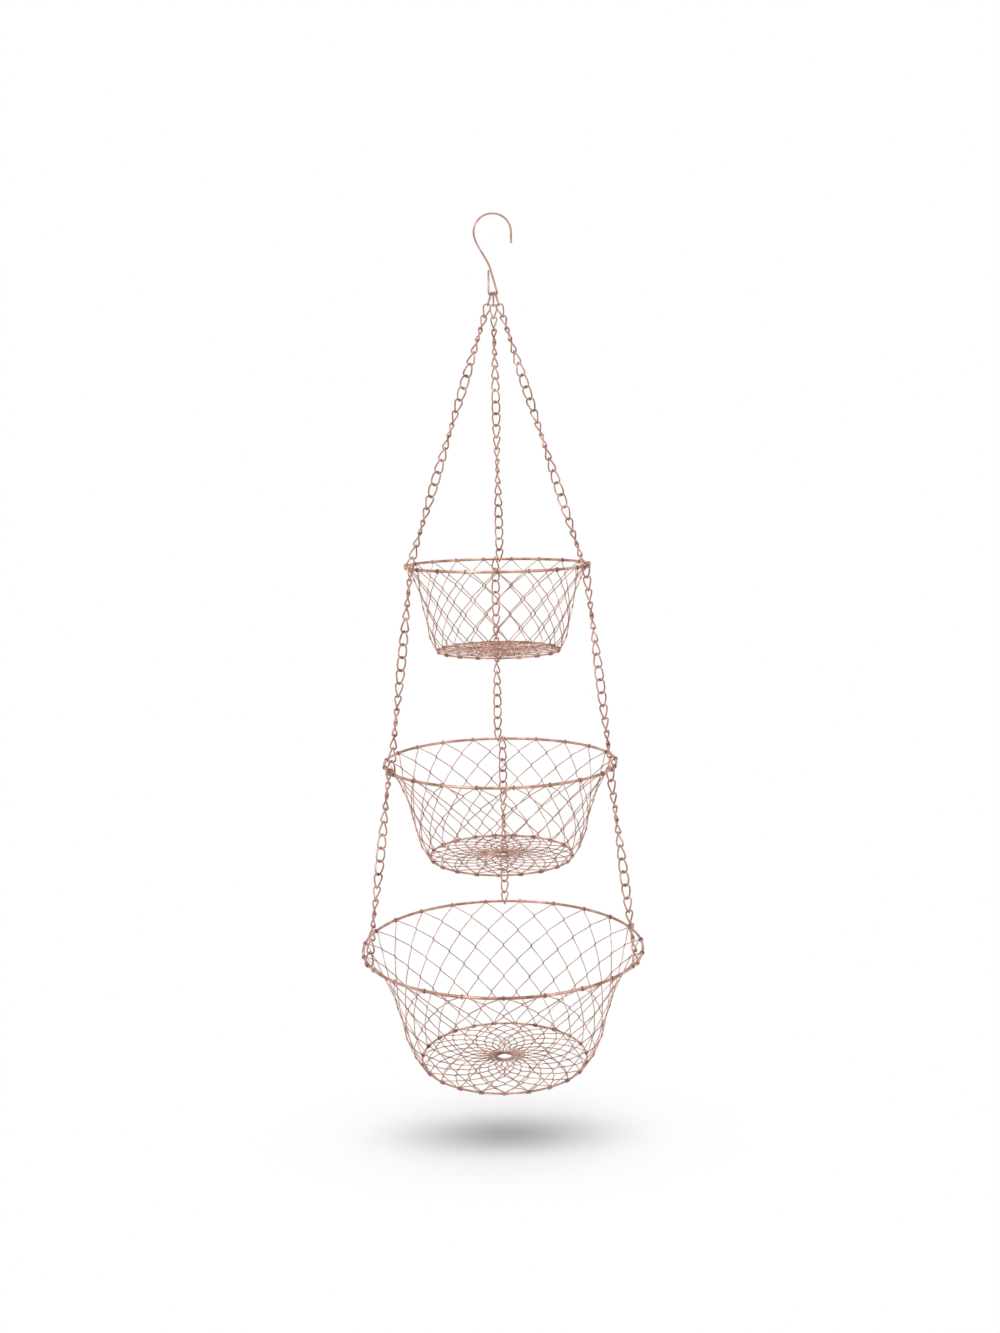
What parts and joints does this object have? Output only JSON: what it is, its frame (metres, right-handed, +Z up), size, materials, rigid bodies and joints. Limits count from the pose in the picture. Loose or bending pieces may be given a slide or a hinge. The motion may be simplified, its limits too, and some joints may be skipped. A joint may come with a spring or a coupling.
{
  "type": "three-tier hanging fruit basket",
  "caption": "Tiered hanging fruit basket: round wire-net baskets under one another on twisted-link chains from a bent wire hook.",
  "frame": {"origin": "middle of the hook's inner crown, where it rests on a rod or hook", "axes": "+Z up along the hanging axis, +Y towards the back chains, the hook's plane is XZ with its mouth towards +X"},
  "size_m": [0.304, 0.3072, 0.9167],
  "materials": {
    "copper_wire": "copper-plated steel wire, satin"
  },
  "bodies": {
    "hook": {"hook": "copper_wire"},
    "top_tier": {"top_chain_back": "copper_wire", "top_chain_left": "copper_wire", "top_chain_right": "copper_wire", "top_rim": "copper_wire", "top_base_ring": "copper_wire", "top_side_net": "copper_wire", "top_base_net": "copper_wire"},
    "middle_chain_back": {"middle_chain_back": "copper_wire"},
    "middle_chain_left": {"middle_chain_left": "copper_wire"},
    "middle_chain_right": {"middle_chain_right": "copper_wire"},
    "middle_tier": {"middle_rim": "copper_wire", "middle_base_ring": "copper_wire", "middle_side_net": "copper_wire", "middle_base_net": "copper_wire"},
    "bottom_chain_back": {"bottom_chain_back": "copper_wire"},
    "bottom_chain_left": {"bottom_chain_left": "copper_wire"},
    "bottom_chain_right": {"bottom_chain_right": "copper_wire"},
    "bottom_tier": {"bottom_rim": "copper_wire", "bottom_base_ring": "copper_wire", "bottom_side_net": "copper_wire", "bottom_base_net": "copper_wire"}
  },
  "joints": [
    {"name": "eye_swing", "type": "hinge", "parent": "hook", "child": "top_tier", "pos_m": [0, 0, -0.0871], "axis": [1, 0, 0], "range_deg": [-20, 20]},
    {"name": "middle_sway", "type": "hinge", "parent": "top_tier", "child": "middle_chain_back", "pos_m": [-0.0026, 0.09951, -0.38064], "axis": [1, 0, 0], "range_deg": [-10, 10]},
    {"name": "middle_sway_left", "type": "hinge", "parent": "top_tier", "child": "middle_chain_left", "pos_m": [-0.09148, -0.03925, -0.38064], "axis": [1, 0, 0], "range_deg": [-10, 10]},
    {"name": "middle_sway_right", "type": "hinge", "parent": "top_tier", "child": "middle_chain_right", "pos_m": [0.09341, -0.03442, -0.38064], "axis": [1, 0, 0], "range_deg": [-10, 10]},
    {"name": "middle_level", "type": "hinge", "parent": "middle_chain_back", "child": "middle_tier", "pos_m": [-0.0026, 0.12476, -0.5935], "axis": [1, 0, 0], "range_deg": [-10, 10]},
    {"name": "bottom_sway", "type": "hinge", "parent": "middle_tier", "child": "bottom_chain_back", "pos_m": [0.0026, 0.12476, -0.5935], "axis": [1, 0, 0], "range_deg": [-10, 10]},
    {"name": "bottom_sway_left", "type": "hinge", "parent": "middle_tier", "child": "bottom_chain_left", "pos_m": [-0.11687, -0.04376, -0.5935], "axis": [1, 0, 0], "range_deg": [-10, 10]},
    {"name": "bottom_sway_right", "type": "hinge", "parent": "middle_tier", "child": "bottom_chain_right", "pos_m": [0.11494, -0.04859, -0.5935], "axis": [1, 0, 0], "range_deg": [-10, 10]},
    {"name": "bottom_level", "type": "hinge", "parent": "bottom_chain_back", "child": "bottom_tier", "pos_m": [0.0026, 0.15002, -0.79265], "axis": [1, 0, 0], "range_deg": [-10, 10]}
  ],
  "couplings": [
    {"joint": "middle_sway_left", "follows": "middle_sway", "ratio": 1},
    {"joint": "middle_sway_right", "follows": "middle_sway", "ratio": 1},
    {"joint": "middle_level", "follows": "middle_sway", "ratio": -0.79761},
    {"joint": "bottom_sway_left", "follows": "bottom_sway", "ratio": 1},
    {"joint": "bottom_sway_right", "follows": "bottom_sway", "ratio": 1},
    {"joint": "bottom_level", "follows": "bottom_sway", "ratio": -0.83168}
  ]
}
